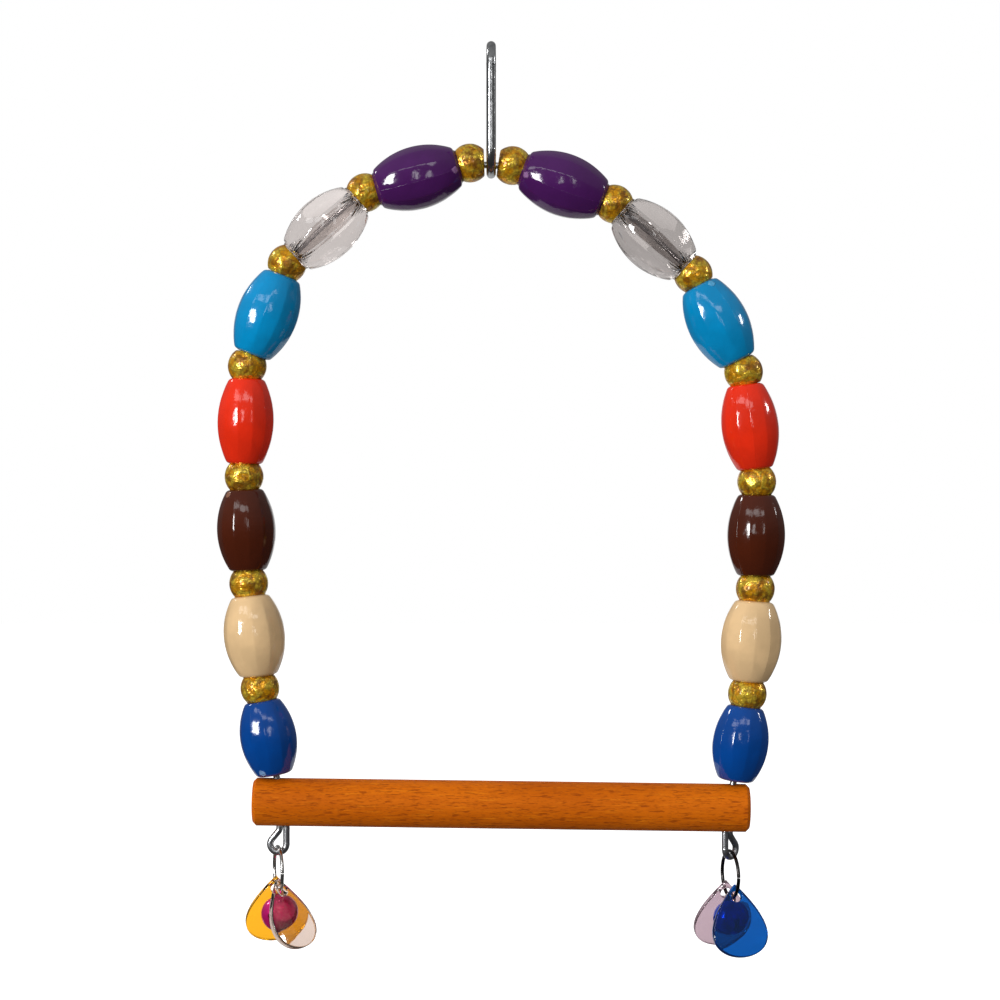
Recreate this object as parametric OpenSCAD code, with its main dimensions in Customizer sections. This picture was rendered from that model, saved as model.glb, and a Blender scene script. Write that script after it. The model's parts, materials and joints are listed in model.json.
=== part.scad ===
// Beaded bird swing: a wire arch strung with barrel and spacer beads, hung by a wire link,
// with a dowel perch across its feet and charms and bells on the eyes below the perch.
// Millimetres. The origin is the inside top of the hanger link, where a cage hook holds it.
// +Z is up, +X is to the right and the swing moves to and fro along Y.

/* [Hanger link] */
// Wire diameter of the hanger link
link_wire_d = 2; // [1.6:0.1:2.4]
// Overall length of the hanger link
link_len = 28.8; // [26:0.1:40]
// Width inside the hanger link
link_inner_w = 7; // [6:0.5:9]
// Gap between the two cut ends of the link wire
link_butt_gap = 0.15; // [0.1:0.05:0.4]
// Height of that gap, measured down from the inside top
link_butt_drop = 11; // [6:0.5:15]

/* [Arch wire] */
// Wire diameter of the arch
wire_d = 1.4; // [1.2:0.1:1.6]
// Bend radius of the short nose that sits in the hanger link
nose_r = 47; // [40:1:60]
// Slope at which the nose ends, on both sides
nose_end_angle = 15; // [8:0.5:16]
// Slope of the wire in the link: the right side starts lower
nose_tilt = 3.4; // [0:0.1:4]
// Mean bend radius of the two shoulders
crown_r = 55.4; // [54:0.2:70]
// How much wider the right shoulder is bent than the left one
crown_skew = 6.4; // [0:0.2:6.6]
// Slope at which the shoulders end
crown_end_angle = 87.7; // [84:0.1:90]
// Bow radius of the two legs
leg_r = 354; // [300:2:600]

/* [Barrel beads] */
// Length of the purple beads
purple_len = 17.5; // [14:0.1:19]
// Width of the purple beads
purple_d = 13.3; // [11:0.1:14]
// Length of the clear beads
clear_len = 16.9; // [14:0.1:19]
// Width of the clear beads
clear_d = 13.5; // [11:0.1:14]
// Length of the sky blue beads
sky_len = 17.7; // [14:0.1:19]
// Width of the sky blue beads
sky_d = 12.8; // [11:0.1:14]
// Length of the red beads
red_len = 17.9; // [14:0.1:19]
// Width of the red beads
red_d = 12; // [11:0.1:14]
// Length of the brown beads
brown_len = 17.1; // [14:0.1:19]
// Width of the brown beads
brown_d = 12.3; // [11:0.1:14]
// Length of the cream beads
cream_len = 16.8; // [14:0.1:19]
// Width of the cream beads
cream_d = 12.8; // [11:0.1:14]
// Length of the royal blue beads
royal_len = 15.7; // [14:0.1:19]
// Width of the royal blue beads
royal_d = 11.9; // [11:0.1:14]
// Bore of the barrel beads
barrel_bore_d = 3.6; // [3.4:0.1:3.8]
// Radius that rounds the end rims of the barrel beads
barrel_rim_r = 0.5; // [0.3:0.1:0.5]
// Width of the cups in the ends of the barrel beads, in which the spacer beads rest
cup_d = 6.3; // [5.6:0.1:6.6]

/* [Spacer beads] */
// Diameter of the gold spacer beads
gold_d = 8.15; // [7.8:0.05:9]
// Length of the gold spacer beads, which are balls with flat ends
gold_len = 6; // [5.6:0.1:6.2]
// Bore of the gold spacer beads
gold_bore_d = 2.6; // [2.4:0.1:2.8]
// Radius that rounds the ends of the spacer beads
gold_rim_r = 0.4; // [0.2:0.1:0.6]

/* [Stringing] */
// Space between a spacer bead and the cups that it rests in
bead_gap = 0.05; // [0.03:0.01:0.08]
// How far the middle of a spacer bead lies outside the wire
bead_lift = 0.4; // [0.3:0.05:0.45]
// Space along the wire between the link and the first spacer bead
hook_gap = 0.45; // [0.4:0.05:2]
// Space along the wire between the last bead and the perch
foot_gap = 0.85; // [0.7:0.05:2]

/* [Perch] */
// Diameter of the perch
perch_d = 10; // [8:0.5:12]
// How far the perch reaches past the wire on the left
perch_over_left = 4.9; // [3:0.1:12]
// How far the perch reaches past the wire on the right
perch_over_right = 3.3; // [3:0.1:12]
// Chamfer at the ends of the perch
perch_chamfer = 0.7; // [0.3:0.1:1.5]
// Diameter of the holes that the wire passes through
perch_hole_d = 2.4; // [2.2:0.1:3]

/* [Eyes] */
// Width inside the eyes at the wire ends
eye_inner_w = 2; // [1.8:0.1:3]
// Length of the straight strand of an eye, below the perch
eye_strand = 3.2; // [3:0.1:5]
// How far the right eye is turned about its strand
right_eye_turn = 44; // [0:1:50]

/* [Rings] */
// Outer diameter of the split rings
ring_d = 10.5; // [9.5:0.1:12]
// Wire diameter of the split rings
ring_wire_d = 0.75; // [0.6:0.05:0.9]
// Gap between the cut ends of a ring
ring_split = 0.15; // [0.1:0.05:0.3]
// Turn of both rings about the vertical
ring_yaw = 15; // [0:1:20]

/* [Charms] */
// Width of the drop charms
charm_w = 12; // [10:0.1:14]
// Height of the drop charms
charm_h = 15.2; // [13:0.1:18]
// Thickness of the drop charms
charm_t = 1.3; // [1:0.1:1.4]
// Diameter of the hole in the charms
charm_hole_d = 2.3; // [2.2:0.1:2.5]
// Distance from the tip of a charm to the middle of its hole
charm_hole_drop = 2.6; // [2.4:0.1:3.2]

/* [Bells] */
// Diameter of the bells
bell_d = 7.3; // [6:0.1:7.4]
// Wall thickness of the bells
bell_wall = 0.35; // [0.25:0.05:0.5]
// Width of the crossed slots in the bells
bell_slot = 0.9; // [0.6:0.1:1.2]
// Wire diameter of the loop on a bell
loop_wire_d = 0.6; // [0.5:0.05:0.7]
// Width inside the loop on a bell
loop_inner_w = 1.2; // [1.1:0.1:1.6]
// Diameter of the loose pellet in a bell
pellet_d = 2.4; // [1.6:0.1:2.8]

/* [Hidden] */
$fn = 64;
sides = [-1, 1];
side_names = ["left", "right"];
barrel_names = ["purple", "clear", "sky", "red", "brown", "cream", "royal"];
barrel_colors = ["rebeccapurple", "gainsboro", "deepskyblue", "orangered", "saddlebrown",
                 "wheat", "royalblue"];
barrel_lens = [purple_len, clear_len, sky_len, red_len, brown_len, cream_len, royal_len];
barrel_ds = [purple_d, clear_d, sky_d, red_d, brown_d, cream_d, royal_d];

// Clearance between pieces that hang on one another
hang_gap = 0.1;
// Clearance between the bell and what hangs beside it or over it
bell_clear = 0.3;

// Shares of a barrel bead's width: its ends before rounding, and the widest cup they can hold
barrel_end_share = 0.6;
cup_share = 0.53;
// Chamfer at the mouth of a spacer bead's bore, as a share of its rim radius
gold_mouth_share = 0.5;
// Joints between stretches of wire: width of the ball and where the stretches stop, as shares
// of the wire's width
joint_share = 1.03;
joint_cut_share = 0.08;
// Segments in the long arc, the rim arcs and the cup arcs of a bead's profile
body_steps = 14;
rim_steps = 4;
cup_steps = 4;

// Height of the arch wire where it rests in the link
hook_z = -(link_len - 2 * link_wire_d) + wire_d / 2 + hang_gap;

// Names of all pieces, one node each
NODES = [
    "hanger_link", "arch_wire", "perch",
    for (s = side_names) each [
        for (i = [1 : len(barrel_names)]) str("gold_", s, "_", i),
        for (b = barrel_names) str(b, "_", s),
        str("ring_", s), str("charm_front_", s), str("charm_back_", s),
        str("bell_", s), str("bell_loop_", s), str("bell_pellet_", s)
    ]
];
node = "all";

function wanted(name) = node == "all" || node == name;

// The arch wire as tangent arcs from the hook to the foot: [radius, angle turned downwards]
function start_slope(side) = side * nose_tilt;
function bends(side) = [
    [nose_r, nose_end_angle - start_slope(side)],
    [crown_r + side * crown_skew, crown_end_angle - nose_end_angle]
];
function arc_len(arc) = arc[0] * arc[1] * PI / 180;
function leg_s(side) = arc_len(bends(side)[0]) + arc_len(bends(side)[1]);
function arcs(side) = concat(bends(side), [[leg_r, (foot_s(side) - leg_s(side)) / leg_r * 180 / PI]]);

// Step along an arc that starts at slope h and turns by a
function arc_step(r, h, a) = r * [sin(h + a) - sin(h), cos(h + a) - cos(h)];
// Point and slope at the length s along a run of arcs
function along(run, s, p, h, i = 0) =
    s <= arc_len(run[i]) || i == len(run) - 1
    ? [p + arc_step(run[i][0], h, s / run[i][0] * 180 / PI), h + s / run[i][0] * 180 / PI]
    : along(run, s - arc_len(run[i]), p + arc_step(run[i][0], h, run[i][1]), h + run[i][1], i + 1);
function on_wire(side, s) =
    along(concat(bends(side), [[leg_r, 90]]), s, [0, hook_z], start_slope(side));

// Beads alternate from the hook down. Each spacer bead is a ball that rests in the cups of its
// neighbours, so each barrel bead lies on the line between the middles of two spacers.
seat_r = gold_d / 2 + bead_gap;
function cup_r(i) = min(cup_d, cup_share * barrel_ds[i]) / 2;
function seat_drop(i) = sqrt(seat_r * seat_r - cup_r(i) * cup_r(i));
function spacer_mid(side, s) =
    let (w = on_wire(side, s)) w[0] + bead_lift * [sin(w[1]), cos(w[1])];
// Length along the wire to the spacer whose middle is the distance e from that at s
function reach(side, s, e, t, n) =
    n == 0 ? t : reach(side, s, e, t + e - norm(spacer_mid(side, t) - spacer_mid(side, s)), n - 1);
reach_steps = 4;
function pair_len(i) = barrel_lens[i] + 2 * seat_drop(i);
function stations(side) = [
    for (i = 0, s = link_wire_d / 2 + hook_gap + gold_len / 2;
         i <= len(barrel_lens);
         s = i < len(barrel_lens) ? reach(side, s, pair_len(i), s + pair_len(i), reach_steps) : s,
         i = i + 1) s
];
strung = [stations(-1), stations(1)];
function spacer_s(side, i) = strung[side < 0 ? 0 : 1][i];
function foot_s(side) =
    let (last = len(barrel_lens) - 1) spacer_s(side, last + 1) - seat_drop(last) + foot_gap;

// Where the wire meets the top of the perch: [x, z] on its own side, and its slope
function foot(side) = on_wire(side, foot_s(side));
function lean(side) = foot(side)[1] - 90;
foot_left = foot(-1);
foot_right = foot(1);
foot_mid_x = (foot_right[0].x - foot_left[0].x) / 2;
foot_mid_z = (foot_right[0].y + foot_left[0].y) / 2;
foot_way = [foot_right[0].x + foot_left[0].x, foot_right[0].y - foot_left[0].y];
perch_tilt = atan2(foot_way.y, foot_way.x);
perch_left = -(norm(foot_way) / 2 + perch_over_left);
perch_right = norm(foot_way) / 2 + perch_over_right;

// Below the foot: straight through the perch, a small bend to the vertical, then the eye.
// The bend's radius is a share of the wire's width and the tail a share of the eye's radius.
set_share = 2.5;
eye_tail_share = 1.15;
eye_over_turn = 40;
set_r = wire_d * set_share;
eye_r = (eye_inner_w + wire_d) / 2;
eye_tail = eye_r * eye_tail_share;
function through_len(side) = perch_d / cos(lean(side));
function eye_turn(side) = side > 0 ? right_eye_turn : 0;
function strand_x(side) = foot(side)[0].x - through_len(side) * sin(lean(side))
                        - set_r * (1 - cos(lean(side)));
function strand_z(side) = foot(side)[0].y - through_len(side) * cos(lean(side))
                        - set_r * sin(lean(side));
// Middle of the wire at the bottom of an eye
function eye_low(side) = [
    side * (strand_x(side) + eye_r * cos(eye_turn(side))),
    eye_r * sin(eye_turn(side)),
    strand_z(side) - eye_strand - eye_r
];

// The ring hangs in the eye
ring_r = (ring_d - ring_wire_d) / 2;
function ring_mid(side) =
    eye_low(side) + [0, 0, (wire_d + ring_wire_d) / 2 + hang_gap - ring_r];

// Where the charms hang on the ring: angle from its lowest point, tilt from the vertical,
// and twist on the ring wire. The bell between them keeps them apart.
hang_angle = 38;
charm_tilt = 20;
front_left_tilt = 28;
front_left_twist = 36;
function charm_place(side, front) =
    front < 0 ? [-hang_angle, -charm_tilt, 0]
    : side < 0 ? [hang_angle, front_left_tilt, front_left_twist]
    : [hang_angle, charm_tilt, 0];
// How far the middle of a charm's hole lies below the ring wire that crosses it at a slant
function charm_sink(place) =
    let (pitch_up = place[0] - place[1],
         bow = charm_t * charm_t / 8 / ring_r,
         side_off = charm_t / 2 * tan(place[2]),
         room = charm_hole_d / 2 - hang_gap
              - ring_wire_d / 2 / cos(place[2]) / cos(pitch_up))
    sqrt(room * room - side_off * side_off) - charm_t / 2 * abs(tan(pitch_up)) - bow;
// Outline of a charm: a drop whose width follows sin(t) sin(t/2)^taper
drop_taper_share = 1.3;
drop_steps = 48;
drop_round_share = 0.12;

// The bell, seen from the middle of the ring wire that its loop hangs on
bell_r = bell_d / 2;
bell_top = -(ring_wire_d / 2 + bell_clear);
bell_mid = bell_top - bell_r;
loop_r = (loop_inner_w + loop_wire_d) / 2;
loop_arc_z = ring_wire_d / 2 + hang_gap - loop_inner_w / 2;
loop_leg_gap = 0.05;
// Reach of the staple's feet inside the bell and width of the slots' ends, as shares of the
// loop's radius and of the slot's width
loop_foot_share = 2.2;
slot_end_share = 1.4;
loop_foot_z = bell_mid + sqrt(pow(bell_r - bell_wall, 2) - pow(loop_r * loop_foot_share, 2))
            - loop_wire_d / 2 - loop_leg_gap;
slot_turns = [-37, 0];
pellet_drop = bell_r - bell_wall - pellet_d / 2 - hang_gap;

function arc_points(mid, r, from, to, steps) =
    [for (i = [0 : steps]) let (a = from + (to - from) * i / steps)
        mid + r * [cos(a), sin(a)]];

// Half section of a bead: a long arc between rounded rims, and a bore whose mouth is given as
// points from the bore outwards: [distance from the axis, depth below the end]
module bead_section(d, l, end_share, rim_r, mouth) {
    sag = d / 2 * (1 - end_share);
    body_r = (l * l / 4 + sag * sag) / (2 * sag);
    body_mid = [d / 2 - body_r, 0];
    rim_z = l / 2 - rim_r;
    rim_x = body_mid.x + sqrt(pow(body_r - rim_r, 2) - rim_z * rim_z);
    meet = atan2(rim_z, rim_x - body_mid.x);
    polygon(concat(
        [for (p = mouth) [p.x, p.y - l / 2]],
        arc_points([rim_x, -rim_z], rim_r, -90, -meet, rim_steps),
        arc_points(body_mid, body_r, -meet, meet, body_steps),
        arc_points([rim_x, rim_z], rim_r, meet, 90, rim_steps),
        [for (k = [len(mouth) - 1 : -1 : 0]) [mouth[k].x, l / 2 - mouth[k].y]]
    ));
}

// Stands its children at a place in the arch's plane, with their Z along the slope
module on_arch(side, place, slope) {
    translate([side * place.x, 0, place.y])
        rotate([0, side * (slope + 90), 0]) children();
}

module barrel_bead(side, i) {
    from = spacer_mid(side, spacer_s(side, i));
    to = spacer_mid(side, spacer_s(side, i + 1));
    way = (to - from) / norm(to - from);
    color(barrel_colors[i])
        on_arch(side, from + way * (seat_drop(i) + barrel_lens[i] / 2), atan2(-way.y, way.x))
            rotate_extrude()
                bead_section(barrel_ds[i], barrel_lens[i], barrel_end_share, barrel_rim_r,
                             arc_points([0, -seat_drop(i)], seat_r, acos(barrel_bore_d / 2 / seat_r),
                                        acos(cup_r(i) / seat_r), cup_steps));
}

module gold_bead(side, i) {
    s = spacer_s(side, i);
    bore_r = gold_bore_d / 2;
    step = gold_rim_r * gold_mouth_share;
    color("goldenrod")
        on_arch(side, spacer_mid(side, s), on_wire(side, s)[1])
            rotate_extrude()
                bead_section(gold_d, gold_len, sqrt(1 - pow(gold_len / gold_d, 2)), gold_rim_r,
                             [[bore_r, step], [bore_r + step, 0]]);
}

// A run of round wire that starts along +X. Each entry is [length or radius, angle, twist]:
// an angle of 0 is straight, a positive one turns down and a negative one turns up.
// Neighbouring stretches stop just short of each other in a ball that is a little thicker.
module wire_run(run, d, head = 0, i = 0) {
    size = run[i][0];
    angle = run[i][1];
    bent = angle == 0 ? 0 : 1;
    up = angle < 0 ? -1 : 1;
    cut = d * joint_cut_share;
    tail = i == len(run) - 1 ? 0 : cut;
    rotate([run[i][2], 0, 0]) {
        if (bent == 0)
            translate([head, 0, 0]) rotate([0, 90, 0]) cylinder(d = d, h = size - head - tail);
        else
            rotate([up < 0 ? 180 : 0, 0, 0])
                translate([0, 0, -size])
                    rotate([-90, 0, 0])
                        rotate([0, 0, head / size * 180 / PI - 90])
                            rotate_extrude(angle = abs(angle) - (head + tail) / size * 180 / PI)
                                translate([size, 0]) circle(d = d);
        if (i < len(run) - 1)
            translate([0, 0, -up * bent * size])
                rotate([0, angle, 0])
                    translate([(1 - bent) * size, 0, up * bent * size]) {
                        sphere(d = d * joint_share);
                        wire_run(run, d, cut, i + 1);
                    }
    }
}

// The link's wire starts and ends at the cut in its front strand
module hanger_link() {
    bend = (link_inner_w + link_wire_d) / 2;
    top = link_butt_drop - (link_inner_w + link_butt_gap) / 2;
    straight = link_len - link_inner_w - 2 * link_wire_d;
    color("silver")
        translate([0, -bend, -link_inner_w / 2 - top])
            rotate([0, 0, 90])
                rotate([0, -90, 0])
                    wire_run([
                        [top, 0, 0], [bend, 180, 0], [straight, 0, 0], [bend, 180, 0],
                        [straight - top - link_butt_gap, 0, 0]
                    ], link_wire_d);
}

module half_arch(side) {
    rotate([0, 0, side < 0 ? 180 : 0])
        translate([0, 0, hook_z])
            rotate([0, start_slope(side), 0])
                wire_run([
                    each [for (a = arcs(side)) [a[0], a[1], 0]],
                    [through_len(side), 0, 0],
                    [set_r, -lean(side), 0],
                    [eye_strand, 0, -eye_turn(side)],
                    [eye_r, -180 - eye_over_turn, 0],
                    [eye_tail, 0, 0]
                ], wire_d, wire_d * joint_cut_share);
}

module arch_wire() {
    color("lightsteelblue") {
        translate([0, 0, hook_z]) sphere(d = wire_d * joint_share);
        for (side = sides) half_arch(side);
    }
}

module perch() {
    color("darkorange")
        difference() {
            translate([foot_mid_x, 0, foot_mid_z - perch_d / 2])
                rotate([0, 90 - perch_tilt, 0])
                    rotate_extrude()
                        polygon([
                            [0, perch_left], [perch_d / 2 - perch_chamfer, perch_left],
                            [perch_d / 2, perch_left + perch_chamfer],
                            [perch_d / 2, perch_right - perch_chamfer],
                            [perch_d / 2 - perch_chamfer, perch_right], [0, perch_right]
                        ]);
            for (side = sides)
                translate([side * foot(side)[0].x, 0, foot(side)[0].y])
                    rotate([0, side * lean(side), 0])
                        translate([0, 0, -2 * perch_d])
                            cylinder(d = perch_hole_d, h = 3 * perch_d);
        }
}

// Puts its children on the ring: X points to the front along the ring, Y to its side
module at_ring(side) {
    translate(ring_mid(side)) rotate([0, 0, ring_yaw - 90]) children();
}

module ring(side) {
    color(side < 0 ? "silver" : "dimgray")
        at_ring(side)
            rotate([90, 0, 0])
                rotate([0, 0, asin(ring_split / 2 / ring_r)])
                    rotate_extrude(angle = 360 - 2 * asin(ring_split / 2 / ring_r))
                        translate([ring_r, 0]) circle(d = ring_wire_d);
}

// Half width of a charm as a share, at the angle t from its tip
function drop_w(t) = sin(t) * pow(drop_round_share + (1 - drop_round_share) * sin(t / 2), drop_taper_share);
drop_peak = max([for (t = [90 : 1 : 150]) drop_w(t)]);

// Outline of a charm with the middle of its hole at the origin, drawn in by the edge
module drop_outline(edge) {
    half_w = charm_w / 2 - edge;
    half_h = charm_h / 2 - edge;
    points = [for (i = [0 : drop_steps]) let (t = 360 * i / drop_steps)
        [half_w * sign(sin(t)) * abs(drop_w(min(t, 360 - t))) / drop_peak,
         charm_hole_drop - charm_h / 2 + half_h * cos(t)]];
    polygon([for (i = [0 : drop_steps - 1]) points[i]]);
}

module charm(side, front) {
    place = charm_place(side, front);
    tint = side < 0 ? (front > 0 ? "mistyrose" : "orange") : (front > 0 ? "mediumblue" : "pink");
    color(tint)
        at_ring(side)
            translate(ring_r * [sin(place[0]), 0, -cos(place[0])])
                rotate([0, -place[1], place[2]])
                    translate([0, 0, -charm_sink(place)])
                        rotate([90, 0, 90])
                            difference() {
                                translate([0, 0, -charm_t / 2])
                                    linear_extrude(charm_t) drop_outline(0);
                                translate([0, 0, -charm_t])
                                    cylinder(d = charm_hole_d, h = 2 * charm_t);
                            }
}

module at_bell(side) {
    at_ring(side) translate([0, 0, -ring_r]) children();
}

module bell(side) {
    color(side < 0 ? "mediumvioletred" : "navy")
        at_bell(side)
            difference() {
                translate([0, 0, bell_mid]) sphere(r = bell_r);
                translate([0, 0, bell_mid]) sphere(r = bell_r - bell_wall);
                for (quarter = [0, 90])
                    rotate([0, 0, quarter + slot_turns[side > 0 ? 1 : 0]]) {
                        translate([-bell_d, -bell_slot / 2, bell_mid - bell_d])
                            cube([2 * bell_d, bell_slot, bell_d]);
                        translate([-bell_d, 0, bell_mid])
                            rotate([0, 90, 0]) cylinder(d = bell_slot * slot_end_share, h = 2 * bell_d);
                    }
                for (leg = sides)
                    translate([0, leg * loop_r, bell_mid])
                        cylinder(d = loop_wire_d + 2 * loop_leg_gap, h = bell_d);
            }
}

// A staple of bare wire: its legs go through the crown and turn outwards inside
module bell_loop(side) {
    color("sandybrown")
        at_bell(side)
            for (leg = sides)
                rotate([0, 0, leg < 0 ? 180 : 0]) {
                    translate([0, loop_r, loop_foot_z])
                        cylinder(d = loop_wire_d, h = loop_arc_z - loop_foot_z);
                    translate([0, loop_r, loop_foot_z]) sphere(d = loop_wire_d);
                    translate([0, loop_r, loop_foot_z])
                        rotate([-90, 0, 0]) cylinder(d = loop_wire_d, h = loop_r);
                    translate([0, 0, loop_arc_z])
                        rotate([90, 0, 90]) rotate_extrude(angle = 90)
                            translate([loop_r, 0]) circle(d = loop_wire_d);
                }
}

module bell_pellet(side) {
    color("gray")
        at_bell(side)
            translate([0, 0, bell_mid - pellet_drop]) sphere(d = pellet_d);
}

if (wanted("hanger_link")) hanger_link();
if (wanted("arch_wire")) arch_wire();
if (wanted("perch")) perch();
for (n = [0, 1]) {
    for (i = [0 : len(barrel_names) - 1]) {
        if (wanted(str("gold_", side_names[n], "_", i + 1)))
            gold_bead(sides[n], i);
        if (wanted(str(barrel_names[i], "_", side_names[n])))
            barrel_bead(sides[n], i);
    }
    if (wanted(str("ring_", side_names[n]))) ring(sides[n]);
    if (wanted(str("charm_front_", side_names[n]))) charm(sides[n], 1);
    if (wanted(str("charm_back_", side_names[n]))) charm(sides[n], -1);
    if (wanted(str("bell_", side_names[n]))) bell(sides[n]);
    if (wanted(str("bell_loop_", side_names[n]))) bell_loop(sides[n]);
    if (wanted(str("bell_pellet_", side_names[n]))) bell_pellet(sides[n]);
}
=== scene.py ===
# %% [markdown]
# # A beaded bird swing
# The swing hangs from a wire link: an arch of beads on a galvanised wire, a dyed perch across its
# feet, and charms and bells below. The rigid frame comes from a CAD model, so this lesson is
# about surfaces: moulded plastic, gold foil, drawn wire, dyed beech and clear charms. Loading the
# frame brings in every CAD piece as an object, with the joints that say where each one turns.

# %% Load the frame
import bpy, bmesh, json, math, random
from mathutils import Matrix, Vector


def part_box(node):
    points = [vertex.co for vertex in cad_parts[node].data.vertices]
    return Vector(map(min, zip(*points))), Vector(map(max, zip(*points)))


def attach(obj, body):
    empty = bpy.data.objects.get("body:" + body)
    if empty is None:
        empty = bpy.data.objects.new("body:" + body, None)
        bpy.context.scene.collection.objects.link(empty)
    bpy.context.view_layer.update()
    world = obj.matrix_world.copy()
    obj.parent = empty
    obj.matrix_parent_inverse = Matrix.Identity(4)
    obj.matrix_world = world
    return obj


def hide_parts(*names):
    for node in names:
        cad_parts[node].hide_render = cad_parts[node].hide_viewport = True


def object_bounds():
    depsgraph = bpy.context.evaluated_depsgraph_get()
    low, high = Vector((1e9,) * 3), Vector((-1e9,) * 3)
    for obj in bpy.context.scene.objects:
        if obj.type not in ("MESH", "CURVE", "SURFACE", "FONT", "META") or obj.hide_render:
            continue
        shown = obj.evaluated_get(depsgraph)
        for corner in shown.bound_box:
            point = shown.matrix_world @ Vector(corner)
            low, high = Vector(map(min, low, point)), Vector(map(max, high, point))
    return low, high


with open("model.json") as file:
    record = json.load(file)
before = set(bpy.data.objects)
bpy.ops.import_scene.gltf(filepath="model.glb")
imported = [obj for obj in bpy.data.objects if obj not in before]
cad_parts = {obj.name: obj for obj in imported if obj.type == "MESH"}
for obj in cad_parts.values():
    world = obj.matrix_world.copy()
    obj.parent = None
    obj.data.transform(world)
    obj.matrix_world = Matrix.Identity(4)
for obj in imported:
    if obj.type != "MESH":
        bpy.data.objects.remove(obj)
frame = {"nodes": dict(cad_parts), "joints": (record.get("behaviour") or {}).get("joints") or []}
cad_box = [list(map(float, corner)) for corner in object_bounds()]
nodes = frame["nodes"]
joints = {joint["name"]: joint for joint in frame["joints"]}
ends = ("left", "right")
print("CAD nodes:", len(nodes), "joints:", len(joints), "box:", cad_box)

# %% [markdown]
# ## Where the camera stands
# The photograph looks straight at the swing from about half a metre away, a little above its
# middle. A level camera keeps upright lines upright. A small shift, like the rise and fall of a
# view camera, frames the swing without tipping it. The lens follows from the distance and from
# the width that the picture shows.

# %% Camera
view_width = 0.210          # metres of the swing's plane that fill the picture's width
picture_middle = -0.0943    # height of the picture's middle in the swing's plane
sensor_width = 36.0         # millimetres
eye = Vector((0.00185, -0.500, -0.0882))

def put_in_scene(name, data):
    piece = bpy.data.objects.new(name, data)
    bpy.context.scene.collection.objects.link(piece)
    return piece

camera_data = bpy.data.cameras.new("camera")
camera_data.sensor_width = sensor_width
camera_data.lens = sensor_width * abs(eye.y) / view_width
camera_data.shift_y = (picture_middle - eye.z) / view_width
camera = put_in_scene("camera", camera_data)
camera.location = eye
camera.rotation_euler = (math.radians(90), 0, 0)
bpy.context.scene.camera = camera
bpy.context.scene.view_settings.view_transform = "Standard"
print("lens %.1f mm, shift %.3f" % (camera_data.lens, camera_data.shift_y))

# %% [markdown]
# ## Small helpers for nodes
# The shapes and the finishes below are both made of nodes. These helpers add a node, set its
# values and join its inputs in one line, so that a tree reads like a recipe.

# %% Node helpers
def set_inputs(tree, node, inputs):
    for name, value in inputs.items():
        if isinstance(value, bpy.types.NodeSocket):
            tree.links.new(value, node.inputs[name])
        elif value is not None:
            node.inputs[name].default_value = value

def add_node(tree, kind, inputs=None, **settings):
    node = tree.nodes.new(kind)
    for name, value in settings.items():
        setattr(node, name, value)
    set_inputs(tree, node, inputs or {})
    return node

def calc(tree, operation, a, b=None):
    return add_node(tree, "ShaderNodeMath", {0: a, 1: b}, operation=operation).outputs[0]

def split(tree, vector):
    return add_node(tree, "ShaderNodeSeparateXYZ", {0: vector}).outputs

def soft_step(tree, value, low, high, to_low=0.0, to_high=1.0):
    return add_node(tree, "ShaderNodeMapRange",
                    {"Value": value, "From Min": low, "From Max": high,
                     "To Min": to_low, "To Max": to_high},
                    interpolation_type="SMOOTHSTEP").outputs["Result"]

print("node helpers ready")

# %% [markdown]
# ## Moulded barrel beads
# The barrels are injection moulded in glossy plastic with twelve broad, shallow flats round
# them. The flats show as upright bands in the reflections. A revolved shape can't have them, so
# Geometry Nodes spin a half section round the bead's axis and press the flats in on the way.
# First comes the half section: half of the bore, the cup that a round spacer bead sits in, a
# rounded rim, and the body's one long arc.

# %% Half section of a barrel bead
lip_step = 0.01             # radians, for finding where the rim leaves the cup
rim_steps, body_steps = 6, 28

def arc(middle, radius, start, end, steps):
    angles = [start + (end - start) * i / steps for i in range(steps + 1)]
    return [(middle[0] + radius * math.cos(a), middle[1] + radius * math.sin(a)) for a in angles]

def barrel_section(width, length, bore=0.0036, end_share=0.6, rim=0.0011,
                   cup=0.0063, cup_share=0.53, ball=0.00825, cup_steps=8):
    sag = width / 2 * (1 - end_share)
    body = (length ** 2 / 4 + sag ** 2) / (2 * sag)
    middle = (width / 2 - body, 0.0)
    rim_z = length / 2 - rim
    rim_x = middle[0] + math.sqrt((body - rim) ** 2 - rim_z ** 2)
    meet = math.atan2(rim_z, rim_x - middle[0])
    inner, half, mouth = bore / 2, length / 2, min(cup, cup_share * width) / 2
    drop = math.sqrt(ball ** 2 / 4 - mouth ** 2)

    lip = -math.pi / 2       # where the rounded rim leaves the cup
    while lip < -meet and math.hypot(rim_x + rim * math.cos(lip),
                                     half + drop - rim_z + rim * math.sin(lip)) < ball / 2:
        lip += lip_step
    lip_x = max(mouth, rim_x + rim * math.cos(lip))
    low_cup = arc((0.0, -half - drop), ball / 2,
                  math.acos(inner * 2 / ball), math.acos(lip_x * 2 / ball), cup_steps)
    high_cup = [(x, -z) for x, z in reversed(low_cup)]
    return ([(inner, 0.0)] + low_cup
            + arc((rim_x, -rim_z), rim, lip, -meet, rim_steps)[1:]
            + arc(middle, body, -meet, meet, body_steps)[1:-1]
            + arc((rim_x, rim_z), rim, meet, -lip, rim_steps)[:-1]
            + high_cup + [(inner, 0.0)])

print("points in a section:", len(barrel_section(0.012, 0.017)))

# %% [markdown]
# ### A tree with named inputs
# One tree makes every barrel, because they all follow one rule and differ only in size, place
# and finish. A node tree declares its inputs first: each has a name, a kind and a first value.

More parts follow.
